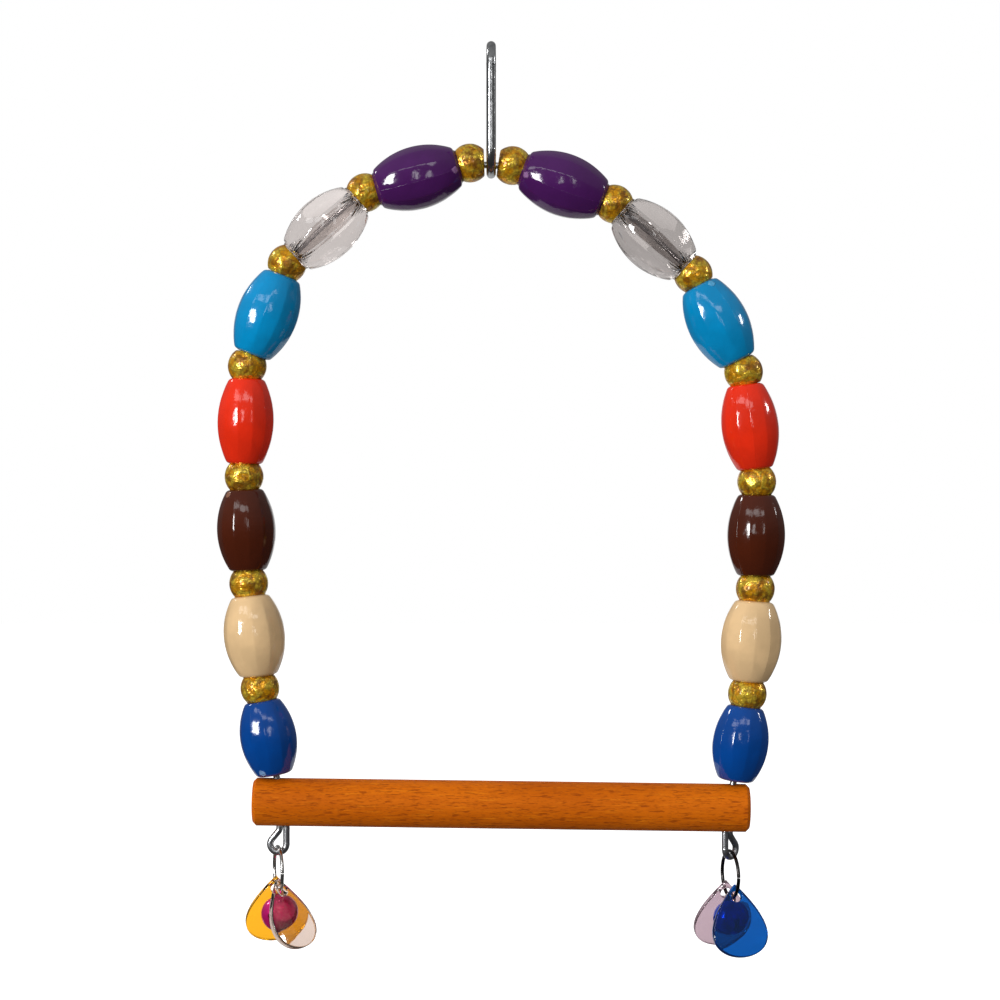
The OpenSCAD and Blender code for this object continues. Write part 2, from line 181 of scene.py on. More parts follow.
# %% Geometry Nodes: inputs of the bead tree
bead_inputs = (
    ("Section", "Geometry", None), ("Points", "Int", 48), ("Around", "Int", 145),
    ("Flats", "Int", 12), ("Flatness", "Float", 0.5),
    ("Flat From", "Float", 0.003), ("Flat Full", "Float", 0.004),
    ("Place", "Vector", (0, 0, 0)), ("Turn", "Vector", (0, 0, 0)), ("Finish", "Material", None))

def new_bead_tree():
    tree = bpy.data.node_groups.new("pressed_bead", "GeometryNodeTree")
    for name, kind, value in bead_inputs:
        socket = tree.interface.new_socket(name, in_out="INPUT", socket_type="NodeSocket" + kind)
        if value is not None:
            socket.default_value = value
    tree.interface.new_socket("Bead", in_out="OUTPUT", socket_type="NodeSocketGeometry")
    return tree, tree.nodes.new("NodeGroupInput").outputs

print("inputs of the bead tree:", len(bead_inputs))

# %% [markdown]
# ### Looking up the section
# A flat grid, one metre square, is the raw material. One direction of it walks along the section
# and the other goes round the bead. Each grid point looks up its point of the section by number,
# and its place across the grid becomes its angle. Sweeping a profile along a circle would be
# shorter, but here every point knows its angle, which the flats need.

# %% Geometry Nodes: look up the section
grid_half = 0.5

def spin_section(tree, given):
    grid = add_node(tree, "GeometryNodeMeshGrid",
                    {"Vertices X": given["Points"], "Vertices Y": given["Around"]})
    place = tree.nodes.new("GeometryNodeInputPosition").outputs[0]
    on_grid = split(tree, place)
    number = calc(tree, "ROUND", calc(tree, "MULTIPLY",
                                      calc(tree, "ADD", on_grid["X"], grid_half),
                                      calc(tree, "SUBTRACT", given["Points"], 1.0)))
    angle = calc(tree, "MULTIPLY", calc(tree, "ADD", on_grid["Y"], grid_half), 2 * math.pi)
    look = add_node(tree, "GeometryNodeSampleIndex",
                    {"Geometry": given["Section"], "Value": place, "Index": number},
                    data_type="FLOAT_VECTOR", domain="POINT")
    point = split(tree, look.outputs["Value"])
    return grid.outputs["Mesh"], place, angle, point["X"], point["Z"]

print("section look-up ready")

# %% [markdown]
# ### Pressing the flats
# Cutting the flats with twelve planes would leave hard edges, so a rule presses them in. A flat
# is a chord of the round bead: its distance from the axis, as a share of the round bead's, is
# the cosine of half a flat over the cosine of the angle from the flat's middle. The flats fade
# in where the bead grows wide, so its ends stay round, and only a share of their depth is used.

# %% Geometry Nodes: press the flats
def press_flats(tree, given, angle, radius):
    flat = calc(tree, "DIVIDE", 2 * math.pi, given["Flats"])
    half_flat = calc(tree, "MULTIPLY", flat, 0.5)
    off_middle = calc(tree, "SUBTRACT", calc(tree, "FLOORED_MODULO", angle, flat), half_flat)
    chord = calc(tree, "DIVIDE", calc(tree, "COSINE", half_flat),
                 calc(tree, "COSINE", off_middle))
    share = calc(tree, "MULTIPLY", soft_step(tree, radius, given["Flat From"], given["Flat Full"]),
                 given["Flatness"])
    depth = calc(tree, "MULTIPLY", share, calc(tree, "SUBTRACT", 1.0, chord))
    return calc(tree, "MULTIPLY", radius, calc(tree, "SUBTRACT", 1.0, depth))

print("flats ready")

# %% [markdown]
# ### The whole bead tree
# The grid is moved onto the bead and keeps each point's place in it as an attribute, which the
# plastic needs for its marks. Then the seam is merged, the bead is carried to its place on the
# wire, and Realize Instances and Set Material leave a plain mesh with its finish.

# %% Geometry Nodes: spin, press and place a bead
merge_reach = 2e-6          # points nearer than this become one

def pressed_bead_tree():
    tree, given = new_bead_tree()
    grid, place, angle, radius, height = spin_section(tree, given)
    out = press_flats(tree, given, angle, radius)
    on_bead = add_node(tree, "ShaderNodeCombineXYZ",
                       {"X": calc(tree, "MULTIPLY", out, calc(tree, "COSINE", angle)),
                        "Y": calc(tree, "MULTIPLY", out, calc(tree, "SINE", angle)),
                        "Z": height})
    spun = add_node(tree, "GeometryNodeSetPosition",
                    {"Geometry": grid, "Position": on_bead.outputs[0]})
    kept = add_node(tree, "GeometryNodeStoreNamedAttribute",
                    {"Geometry": spun.outputs[0], "Name": "in_bead", "Value": place},
                    data_type="FLOAT_VECTOR", domain="POINT")
    merged = add_node(tree, "GeometryNodeMergeByDistance",
                      {"Geometry": kept.outputs[0], "Distance": merge_reach})
    smooth = add_node(tree, "GeometryNodeSetShadeSmooth", {"Geometry": merged.outputs[0]})
    turn = add_node(tree, "FunctionNodeEulerToRotation", {0: given["Turn"]})
    moved = add_node(tree, "GeometryNodeTransform",
                     {"Geometry": smooth.outputs[0], "Translation": given["Place"],
                      "Rotation": turn.outputs[0]})
    real = add_node(tree, "GeometryNodeRealizeInstances", {0: moved.outputs[0]})
    finished = add_node(tree, "GeometryNodeSetMaterial",
                        {"Geometry": real.outputs[0], "Material": given["Finish"]})
    add_node(tree, "NodeGroupOutput", {"Bead": finished.outputs[0]})
    return tree

bead_tree = pressed_bead_tree()
print("nodes in the bead tree:", len(bead_tree.nodes))

# %% [markdown]
# ### From a recipe to a plain mesh
# A modifier or a curve is only a recipe for a shape. The evaluated object holds the result, and
# copying its mesh keeps it as plain faces. A check then makes the faces point outwards and counts
# edges that don't join two faces, of which a solid piece has none.

# %% Run a tree on a mesh and keep the plain result
def plain_mesh(name, draft):
    bpy.context.view_layer.update()
    graph = bpy.context.evaluated_depsgraph_get()
    mesh = bpy.data.meshes.new_from_object(draft.evaluated_get(graph))
    bpy.data.objects.remove(draft)
    mesh.name = name
    return mesh

def grown(name, start_mesh, tree, settings):
    worker = put_in_scene("worker", start_mesh)
    modifier = worker.modifiers.new("grow", "NODES")
    modifier.node_group = tree
    sockets = {s.name: s.identifier for s in tree.interface.items_tree if s.in_out == "INPUT"}
    for key, value in settings.items():
        modifier[sockets[key]] = value
    return put_in_scene(name, plain_mesh(name, worker))

def turn_outwards(shape):
    if shape.calc_volume(signed=True) < 0:
        bmesh.ops.reverse_faces(shape, faces=shape.faces)
    return sum(not edge.is_manifold for edge in shape.edges)

def point_outwards(mesh):
    shape = bmesh.new()
    shape.from_mesh(mesh)
    open_edges = turn_outwards(shape)
    shape.to_mesh(mesh)
    shape.free()
    return open_edges

print("runner ready")

# %% [markdown]
# ## Helpers for a finish
# A finish is one Principled shader with patterns on its inputs. Noise makes soft clouds and
# grain, a soft step turns a cloud into patches, and a bump tilts the light as if the skin had
# relief. A weighed pattern is a share of it on top of a base value, and a fade is full below one
# value and gone above another. Colours are written as three linear values and made opaque here.

# %% Finish helpers
def new_finish(name):
    material = bpy.data.materials.new(name)
    material.use_nodes = True
    tree = material.node_tree
    tree.nodes.clear()
    shader = tree.nodes.new("ShaderNodeBsdfPrincipled")
    add_node(tree, "ShaderNodeOutputMaterial", {"Surface": shader.outputs["BSDF"]})
    return material, tree, shader

def opaque(color):
    return color if isinstance(color, bpy.types.NodeSocket) else (*color, 1)

def blend_colors(tree, share, a, b):
    return add_node(tree, "ShaderNodeMix", {0: share, 6: opaque(a), 7: opaque(b)},
                    data_type="RGBA").outputs[2]

def noise(tree, where, scale, detail=3.0, rough=0.5, twist=0.0):
    return add_node(tree, "ShaderNodeTexNoise",
                    {"Vector": where, "Scale": scale, "Detail": detail,
                     "Roughness": rough, "Distortion": twist}).outputs["Fac"]

def bump(tree, height, depth, strength=1.0, under=None):
    return add_node(tree, "ShaderNodeBump",
                    {"Height": height, "Distance": depth, "Strength": strength,
                     "Normal": under}).outputs["Normal"]

def weighed(tree, pattern, share, base=0.0):
    part = calc(tree, "MULTIPLY", pattern, share)
    return calc(tree, "ADD", part, base) if base else part

def fade(tree, value, full, gone):
    return soft_step(tree, value, full, gone, to_low=1.0, to_high=0.0)

print("finish helpers ready")

# %% [markdown]
# ### Moulded plastic
# Opaque bead plastic is glossy and even, but not perfect: a thin parting line runs down two
# sides where the mould halves met, the skin has a faint orange peel, and beside one end sits the
# rough, paler scar where the bead was broken off its runner. All three sit at fixed places in
# the bead. They could be painted on an image, which needs an unwrapped mesh, but a pattern that
# reads the place that the tree stored needs none.

# %% Finish: moulded plastic
gate_out, gate_inset = 0.0042, 0.0009       # the scar's place: from the axis and from the end
gate_full, gate_gone = 0.00095, 0.00125     # where the scar starts to fade and where it ends
gate_ragged = 0.0007                        # how far its edge wanders
seam_full, seam_gone = 0.00002, 0.00009     # the same two distances for the parting line

def bead_place(tree):
    return add_node(tree, "ShaderNodeAttribute", attribute_name="in_bead").outputs["Vector"]

def moulded_plastic(name, color, scar, length):
    material, tree, shader = new_finish(name)
    spot = bead_place(tree)
    gate = add_node(tree, "ShaderNodeVectorMath",
                    {0: spot, 1: (0.0, -gate_out, length / 2 - gate_inset)}, operation="DISTANCE")
    ragged = calc(tree, "ADD", gate.outputs["Value"],
                  weighed(tree, noise(tree, spot, scale=1500, detail=4), gate_ragged))
    mark = fade(tree, ragged, gate_full, gate_gone)
    seam = fade(tree, calc(tree, "ABSOLUTE", split(tree, spot)["X"]), seam_full, seam_gone)
    peel = noise(tree, spot, scale=420, detail=2)
    cloud = noise(tree, spot, scale=160)
    skin = blend_colors(tree, soft_step(tree, cloud, 0.35, 0.7), [c * 0.86 for c in color], color)
    wavy = bump(tree, peel, depth=0.00014, strength=0.7)
    lined = bump(tree, seam, depth=0.00004, strength=0.6, under=wavy)
    rugged = calc(tree, "MULTIPLY", mark, noise(tree, spot, scale=2600))
    set_inputs(tree, shader, {
        "Base Color": blend_colors(tree, weighed(tree, mark, share=0.75), skin, scar),
        "Roughness": calc(tree, "ADD", weighed(tree, peel, share=0.05, base=0.09),
                          weighed(tree, mark, share=0.35)),
        "Normal": bump(tree, rugged, depth=0.00035, under=lined),
        "IOR": 1.5, "Coat Weight": 0.15, "Coat Roughness": 0.04})
    return material

print("plastic recipe ready")

# %% [markdown]
# ### Clear plastic
# The clear pair is the same moulding in styrene without dye. It bends the view of the wire and
# the white behind it. A plain glass shader would be too perfect, because the beads have faint
# cloudy flow lines from the mould, so tint, gloss and skin all follow one slow, twisted noise.

# %% Finish: clear plastic
def clear_plastic(name, tint):
    material, tree, shader = new_finish(name)
    flow = noise(tree, bead_place(tree), scale=300, twist=0.6)
    pale = [min(1, c * 1.04) for c in tint]
    set_inputs(tree, shader, {
        "Base Color": blend_colors(tree, soft_step(tree, flow, 0.35, 0.65), tint, pale),
        "Roughness": weighed(tree, flow, share=0.04, base=0.03),
        "Normal": bump(tree, flow, depth=0.00008, strength=0.5),
        "Transmission Weight": 1.0, "IOR": 1.46})
    return material

print("clear recipe ready")

# %% [markdown]
# ### The size and place of each barrel
# Every bead spins on the wire, so its joint gives its middle and its axis, and the CAD bead gives
# its width and length. A finished piece stays at the origin with its place in its mesh, so the
# tree gets the place and the turn as inputs. A few beads show their scar in the photograph, and
# a turn about the axis brings it round to the front.

# %% Size, place and turn of a barrel
scar_place = {      # the end that the scar is on (1: the lower one), and the turn in degrees
    "purple_left": (-1, 14), "purple_right": (-1, -18), "royal_left": (1, 30),
    "sky_left": (1, -60), "sky_right": (-1, 30), "brown_left": (-1, -50)}

def bead_frame(name, flip, turn):
    joint = joints[name + "_spin"]
    along = Vector(joint["axis"]).normalized() * flip
    front = Vector((0, 1, 0))
    side = front.cross(along).normalized()
    basis = Matrix((side, front, along)).transposed()
    spin = Matrix.Rotation(math.radians(turn), 3, "Z")
    return Vector(joint["pos_m"]), (basis @ spin).to_euler()

def bead_size(name):
    joint = joints[name + "_spin"]
    middle, along = Vector(joint["pos_m"]), Vector(joint["axis"]).normalized()
    offsets = [v.co - middle for v in nodes[name].data.vertices]
    heights = [offset.dot(along) for offset in offsets]
    radii = [(offset - along * offset.dot(along)).length for offset in offsets]
    return 2 * max(radii), max(heights) - min(heights)

def section_mesh(points):
    mesh = bpy.data.meshes.new("section")
    mesh.from_pydata([(x, 0, z) for x, z in points],
                     [(i, i + 1) for i in range(len(points) - 1)], [])
    return mesh

print("red barrel: %.4f m wide, %.4f m long" % bead_size("red_left"))

# %% [markdown]
# ### Fourteen barrels in seven colours
# Each colour is given with the paler colour of its scar. The clear beads show no scar. They are
# one plastic, but the right one looks darker because it hangs in shade, so its tint is deepened
# as painted shade. Beads whose scar doesn't show have it turned to the back by a seeded random
# angle. Both beads of a colour are one moulding, so they share one section, measured from the
# left one.

# %% Barrel beads, one for each colour and side
bead_colors = {
    "purple": ((0.075, 0.010, 0.115), (0.36, 0.17, 0.40)),
    "clear": ((0.62, 0.57, 0.55), None),
    "sky": ((0.000, 0.295, 0.640), (0.12, 0.50, 0.85)),
    "red": ((0.900, 0.030, 0.006), (0.95, 0.30, 0.16)),
    "brown": ((0.075, 0.012, 0.003), (0.30, 0.12, 0.06)),
    "cream": ((0.880, 0.600, 0.315), (0.90, 0.76, 0.58)),
    "royal": ((0.000, 0.062, 0.320), (0.25, 0.50, 0.85)),
}
# the right clear bead's tint is darkened as painted shade; both beads are one plastic
clear_painted_shade = {"left": 0.95, "right": 0.62}
flat_from, flat_full = 0.33, 0.43           # shares of the width where the flats fade in
chance = random.Random(11)

def barrel_finish(shade, end, length):
    color, scar = bead_colors[shade]
    if not scar:
        # the tint carries the painted shade of the right clear bead
        return clear_plastic(shade + "_plastic_" + end, [c * clear_painted_shade[end] for c in color])
    name = shade + "_plastic"
    return bpy.data.materials.get(name) or moulded_plastic(name, color, scar, length)

for shade in bead_colors:
    width, length = bead_size(shade + "_left")
    section = barrel_section(width, length)
    for end in ends:
        node = shade + "_" + end
        flip, turn = scar_place.get(node, (1, chance.uniform(100, 260)))
        place, euler = bead_frame(node, flip, turn)
        bead = grown(node + "_bead", section_mesh(section), bead_tree, {
            "Points": len(section), "Around": 145, "Flats": 12, "Flatness": 0.5,
            "Flat From": width * flat_from, "Flat Full": width * flat_full,
            "Place": place, "Turn": tuple(euler), "Finish": barrel_finish(shade, end, length)})
        loose = point_outwards(bead.data)
        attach(bead, node)
        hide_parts(node)
    print(shade, "beads %.1f x %.1f mm, open edges %d" % (width * 1e3, length * 1e3, loose))

# %% [markdown]
# ## Gold spacer beads
# The spacers are coated with a thin gold foil that has crackled over a brown ground. The CAD
# beads have the right shape already, so they only need the finish: a metal with fine dark
# cracks between the flakes, brown patches where the foil has thinned, and a lumpy skin. An image
# would stretch towards the bores, so the patterns fill space. They read Object coordinates,
# which stay with a piece when it moves.

# %% Finish: crackled gold foil
def object_place(tree, scale=(1, 1, 1), turn=(0, 0, 0), move=(0, 0, 0)):
    coords = tree.nodes.new("ShaderNodeTexCoord")
    return add_node(tree, "ShaderNodeMapping",
                    {"Vector": coords.outputs["Object"], "Location": move,
                     "Rotation": turn, "Scale": scale}).outputs["Vector"]

def flake_edge(tree, where, scale):
    return add_node(tree, "ShaderNodeTexVoronoi", {"Vector": where, "Scale": scale},
                    feature="DISTANCE_TO_EDGE").outputs["Distance"]

def gold_foil():
    material, tree, shader = new_finish("gold_foil")
    spot = object_place(tree)
    lumps = noise(tree, spot, scale=520, detail=1.5, rough=0.45, twist=0.6)
    worn = soft_step(tree, noise(tree, spot, scale=420, rough=0.6), 0.50, 0.62)
    flakes, fine = flake_edge(tree, spot, scale=800), flake_edge(tree, spot, scale=1900)
    crack = weighed(tree, fade(tree, flakes, full=0.02, gone=0.12), share=0.6)
    hair = weighed(tree, fade(tree, fine, full=0.02, gone=0.14), share=0.4)
    dark = calc(tree, "MAXIMUM", crack, hair)
    gold = blend_colors(tree, soft_step(tree, lumps, 0.40, 0.60),
                        (1.0, 0.45, 0.006), (1.0, 0.70, 0.055))
    toned = blend_colors(tree, weighed(tree, worn, share=0.75), gold, (0.26, 0.075, 0.003))
    skin = bump(tree, lumps, depth=0.00060)
    set_inputs(tree, shader, {
        "Base Color": blend_colors(tree, dark, toned, (0.12, 0.040, 0.003)),
        "Roughness": calc(tree, "ADD", weighed(tree, dark, share=0.3),
                          weighed(tree, worn, share=0.10, base=0.15)),
        "Normal": bump(tree, flakes, depth=0.00004, strength=0.4, under=skin),
        "Metallic": 0.48, "Coat Weight": 0.25, "Coat Roughness": 0.12})
    return material

def dress(name, material):
    mesh = nodes[name].data
    mesh.materials.clear()
    mesh.materials.append(material)

foil = gold_foil()
for end in ends:
    for number in range(1, 8):
        dress("gold_%s_%d" % (end, number), foil)
print("gold spacers dressed")

# %% [markdown]
# ## Wire
# Wire is drawn through a die and then plated. Drawing leaves fine marks and zinc leaves soft grey
# clouds. An even metal would look like chrome, so the roughness and the tone of each wire wander
# a little between a bright and a dull value. The link and the arch also have shallow pits.

# %% Finish: drawn and plated wire
def wire_finish(name, bright, dull, gloss, spread, cloud_scale=260, pits=0.0):
    material, tree, shader = new_finish(name)
    spot = object_place(tree)
    cloud = noise(tree, spot, scale=cloud_scale, detail=4, rough=0.6)
    grain = noise(tree, spot, scale=3200, rough=0.7)
    skin = bump(tree, grain, depth=0.00002, strength=0.5)
    if pits:
        skin = bump(tree, soft_step(tree, cloud, 0.4, 0.6), depth=pits, strength=0.4, under=skin)
    set_inputs(tree, shader, {
        "Base Color": blend_colors(tree, soft_step(tree, cloud, 0.35, 0.65), bright, dull),
        "Roughness": weighed(tree, cloud, share=spread, base=gloss),
        "Normal": skin, "Metallic": 1.0})
    return material

zinc = {"cloud_scale": 420, "pits": 0.00003}
galvanised = wire_finish("galvanised_wire", (0.68, 0.69, 0.71), (0.46, 0.47, 0.49), 0.20, 0.22,
                         **zinc)
wires = {
    "hanger_link": wire_finish("link_steel", (0.58, 0.59, 0.60), (0.34, 0.35, 0.36), 0.10, 0.20,
                               **zinc),
    "arch_wire": galvanised,
    "ring_left": wire_finish("nickel_ring", (0.84, 0.83, 0.80), (0.62, 0.60, 0.57), 0.12, 0.12),
    "ring_right": wire_finish("black_ring", (0.060, 0.056, 0.054), (0.030, 0.028, 0.028),
                              0.16, 0.12),
}
copper = wire_finish("copper_wire", (0.80, 0.42, 0.26), (0.62, 0.30, 0.17), 0.16, 0.12)
steel = wire_finish("steel_pellet", (0.45, 0.45, 0.46), (0.34, 0.34, 0.35), 0.25, 0.15)
for end in ends:
    wires["bell_loop_" + end], wires["bell_pellet_" + end] = copper, steel
for node, finish in wires.items():
    dress(node, finish)
print("wires dressed:", len(wires))

# %% [markdown]
# ### Closing the eyes
# Below the perch the wire turns round into an eye, and its cut end runs up beside the strand to
# the underside of the perch, so that the eye is shut. This last bit is bent here from a path:
# a short arc that straightens up, then a straight end. A curve with a round bevel is the plainest
# way to make a wire along a path, and its mesh is kept.

# %% Wire along a path
def wire_path(name, points, radius, finish):
    curve = bpy.data.curves.new(name, "CURVE")
    curve.dimensions, curve.bevel_depth, curve.bevel_resolution = "3D", radius, 6
    curve.use_fill_caps = True
    line = curve.splines.new("POLY")
    line.points.add(len(points) - 1)
    for point, place in zip(line.points, points):
        point.co = (*place, 1)
    mesh = plain_mesh(name, put_in_scene(name + "_draft", curve))
    for face in mesh.polygons:
        face.use_smooth = len(face.vertices) == 4
    mesh.materials.clear()
    mesh.materials.append(finish)
    return put_in_scene(name, mesh)

print("wire bender ready")

# %% [markdown]
# ### The two wire ends
# The CAD's eye is an arc that stops past its top, followed by a short straight tail. The path
# goes on from the end of that tail, measured across from the strand and up from the eye's
# middle. The right eye is turned towards the back, as in the photograph, and the perch slopes a
# little, so its underside is higher at the left.

# %% Wire ends of the eyes
wire_radius = 0.0007
eye_radius = 0.0017                     # from the eye's middle to the wire's middle
eye_over = math.radians(40)             # how far the arc goes on past level
tail_length = 0.001955                  # the straight bit after the arc
straighten_radius, straighten_steps = 0.0013, 8
eye_turned = {"left": 180, "right": 44}
perch_rise = {"left": 0.0013, "right": 0.0}
perch_gap = 0.0001

tail_out = eye_radius * (1 + math.cos(eye_over)) - tail_length * math.sin(eye_over)
tail_up = eye_radius * math.sin(eye_over) + tail_length * math.cos(eye_over)
for end in ends:
    turned = math.radians(eye_turned[end])
    away = Vector((math.cos(turned), math.sin(turned), 0))
    low = Vector(joints["ring_%s_swing" % end]["pos_m"])
    strand = low - away * eye_radius + Vector((0, 0, eye_radius))
    path = []
    for step in range(straighten_steps + 1):
        lean = eye_over * (1 - step / straighten_steps)
        path.append((tail_out - straighten_radius * (math.cos(lean) - math.cos(eye_over)),
                     tail_up + straighten_radius * (math.sin(eye_over) - math.sin(lean))))
    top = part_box("perch")[0][2] + perch_rise[end] - strand.z - perch_gap
    path.append((path[-1][0], top))
    points = [strand + away * out + Vector((0, 0, up)) for out, up in path]
    stub = wire_path("eye_end_" + end, points, wire_radius, galvanised)
    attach(stub, "arch")
    print("eye end", end, "top at %.4f" % points[-1].z)

# %% [markdown]
# ## The perch
# The perch is a beech dowel stained orange. Beech shows short dark dashes, the cut ends of its
# rays, all lying along the stick, over faint long fibres and slow drifts in the stain. An image
# of wood wouldn't run on through the ends. Noise that is stretched along the grain fills the
# whole stick, as the real grain does, and it follows the perch's slight slope.
# Pale golden streaks along the grain are a painted sheen.

# %% Grain of the beech
perch_lean = (0, math.radians(-0.754), 0)

def grain(tree, along, across, detail=3, rough=0.6, move=(0, 0, 0)):
    stretched = object_place(tree, (along, across, across), perch_lean, move)
    return noise(tree, stretched, 1.0, detail, rough)

def flecks(tree):
    dashes = grain(tree, 430, 3300, detail=2, rough=0.5)
    small = grain(tree, 900, 6500, detail=2, rough=0.5, move=(0.3, 0.1, 0.2))
    return calc(tree, "MAXIMUM", soft_step(tree, dashes, 0.57, 0.67),
                weighed(tree, soft_step(tree, small, 0.56, 0.68), share=0.6))

def stain_and_painted_sheen(tree, fibre):
    drift = grain(tree, 30, 160, rough=0.55)
    stain = blend_colors(tree, soft_step(tree, drift, 0.3, 0.7),
                         (0.60, 0.120, 0.001), (0.76, 0.170, 0.003))
    # pale golden streaks along the grain: a painted sheen mixed into the stain colour
    painted_sheen = soft_step(tree, grain(tree, 160, 2600, move=(0.1, 0.7, 0.4)), 0.56, 0.72)
    paler = blend_colors(tree, weighed(tree, painted_sheen, share=0.55), stain, (0.92, 0.27, 0.008))
    return blend_colors(tree, weighed(tree, soft_step(tree, fibre, 0.4, 0.75), share=0.35),
                        paler, (0.50, 0.090, 0.001))

print("grain ready")

# %% [markdown]
# ### Sawn ends
# The sawn ends drink more stain and show curved year rings. The stick was cut from outside the
# heart of the tree, so the rings' middle lies above it and the ends show gentle arcs. The
# direction that a face looks in tells the ends from the side, so one finish covers both.

# %% Finish: dyed beech
year_rings_middle = (0, 0.004, 0.146)

def sawn_end(tree):
    rings = add_node(tree, "ShaderNodeTexWave",
                     {"Vector": object_place(tree, (1, 1, 1), perch_lean, year_rings_middle),
                      "Scale": 260, "Distortion": 1.5, "Detail": 2},
                     wave_type="RINGS", rings_direction="X")
    return blend_colors(tree, weighed(tree, rings.outputs["Fac"], share=0.6),
                        (0.66, 0.17, 0.014), (0.36, 0.075, 0.006))

def dyed_beech():
    material, tree, shader = new_finish("dyed_beech")
    fibre, fleck = grain(tree, 70, 3600), flecks(tree)
    facing = split(tree, tree.nodes.new("ShaderNodeTexCoord").outputs["Normal"])
    at_end = soft_step(tree, calc(tree, "ABSOLUTE", facing["X"]), 0.85, 0.97)
    surface = blend_colors(tree, at_end, stain_and_painted_sheen(tree, fibre), sawn_end(tree))
    pores = bump(tree, fleck, depth=-0.00006, strength=0.7)
    set_inputs(tree, shader, {
        "Base Color": blend_colors(tree, weighed(tree, fleck, share=0.62), surface,
                                   (0.26, 0.036, 0.001)),
        "Roughness": weighed(tree, fibre, share=0.2, base=0.48),
        "Normal": bump(tree, fibre, depth=0.00004, strength=0.5, under=pores),
        "Specular IOR Level": 0.08})
    return material

dress("perch", dyed_beech())
print("perch dressed")

# %% [markdown]
# ## Drop charms
# The charms are cut from clear coloured acrylic and tumbled, so their edges are round. The
# outline is round below and narrows to a soft point at the top. It could be drawn by hand, but a
# rule with two numbers, one for the softness and one for the taper, is easier to fit.

# %% Outline of a drop
outline_steps, point_soften, point_power = 96, 0.12, 1.3

def drop_half_width(t):
    return math.sin(t) * (point_soften + (1 - point_soften) * math.sin(t / 2)) ** point_power

def drop_outline(width, height, hole_drop):
    widest = max(drop_half_width(math.radians(a)) for a in range(90, 151))
    points = []
    for i in range(outline_steps):
        t = 2 * math.pi * i / outline_steps
        half = drop_half_width(min(t, 2 * math.pi - t)) / widest * width / 2
        points.append((half * (1 if t <= math.pi else -1),
                       hole_drop - height / 2 + height / 2 * math.cos(t)))
    return points

print("points in a drop's outline:", len(drop_outline(0.012, 0.015, 0.0026)))

# %% [markdown]
# ### Measuring a charm
# The charm's joint gives the middle of its hole and the direction that the plate faces. Measured
# along that direction and the two across it, the CAD charm gives its width, height and
# thickness, so the drop can't outgrow the part that it stands for.

# %% Size and place of a charm
def charm_frame(name):
    joint = joints[name + "_swing"]
    face = Vector(joint["axis"]).normalized()
    up = (Vector((0, 0, 1)) - face * face.z).normalized()
    side = up.cross(face).normalized()
    return Vector(joint["pos_m"]), side, up, face

def reach(offsets, direction):
    along = [offset.dot(direction) for offset in offsets]
    return min(along), max(along)

def charm_size(name):
    pin, side, up, face = charm_frame(name)
    offsets = [v.co - pin for v in nodes[name].data.vertices]
    (left, right), (foot, top), (back, front) = (reach(offsets, d) for d in (side, up, face))
    return right - left, top - foot, front - back, top

print("front left charm: %.4f x %.4f x %.4f m" % charm_size("charm_front_left")[:3])

# %% [markdown]
# ### A rounded plate with a hole
# A block could be cut with booleans, but a flat curve keeps the outline exact and its edge even.
# A second, inner curve is the hole. Extruding gives the plate its thickness, a small bevel rounds
# its edges, and an offset takes that bevel back inwards, so that the drop keeps its size.

# %% Shape: a rounded drop with a hole
charm_edge = 0.00028        # radius of the tumbled edge
hole_width, hole_drop = 0.0023, 0.0026      # the hole, and its middle's distance from the top
hole_steps, edge_steps = 40, 3

def ring_outline(width, steps):
    turns = [2 * math.pi * i / steps for i in range(steps)]
    return [(width / 2 * math.cos(t), width / 2 * math.sin(t)) for t in turns]

def rounded_charm(name):
    pin, side, up, face = charm_frame(name)
    width, height, thick, top = charm_size(name)
    curve = bpy.data.curves.new(name, "CURVE")
    curve.dimensions, curve.fill_mode = "2D", "BOTH"
    curve.extrude, curve.offset = thick / 2 - charm_edge, -charm_edge
    curve.bevel_depth, curve.bevel_resolution = charm_edge, edge_steps
    for points in (drop_outline(width, height, hole_drop), ring_outline(hole_width, hole_steps)):
        spline = curve.splines.new("POLY")
        spline.points.add(len(points) - 1)
        spline.use_cyclic_u = True
        for point, (x, y) in zip(spline.points, points):
            point.co = (x, y, 0, 1)
    mesh = plain_mesh(name, put_in_scene(name + "_draft", curve))
    hole = pin + up * (top - hole_drop)
    mesh.transform(Matrix.Translation(hole) @ Matrix((side, up, face)).transposed().to_4x4())
    return put_in_scene(name + "_drop", mesh), (width, height, thick)

print("charm cutter ready")

# %% [markdown]
# ### Merging and shading the plate
# A filled curve leaves its faces and its rim as separate shells. Merging their doubles makes one
# closed skin, and marking only the steep edges sharp gives flat faces with a soft, round edge.

# %% Merge, shade and measure a plate
smooth_below = math.radians(40)

def finish_plate(mesh):
    shape = bmesh.new()
    shape.from_mesh(mesh)
    bmesh.ops.remove_doubles(shape, verts=shape.verts, dist=merge_reach)
    bmesh.ops.recalc_face_normals(shape, faces=shape.faces)
    open_edges = turn_outwards(shape)
    for face in shape.faces:
        face.smooth = True
    for edge in shape.edges:
        edge.smooth = edge.calc_face_angle(0) < smooth_below
    shape.to_mesh(mesh)
    shape.free()
    return open_edges

print("plate finisher ready")

# %% [markdown]
# ### Coloured acrylic
# Acrylic is tinted all through and very glossy, with light scuffs from hanging on a ring. Alpha
# would fade the plate without bending the light, so the shader transmits light and its colour is
# the tint. The scuffs only raise the roughness in small patches.

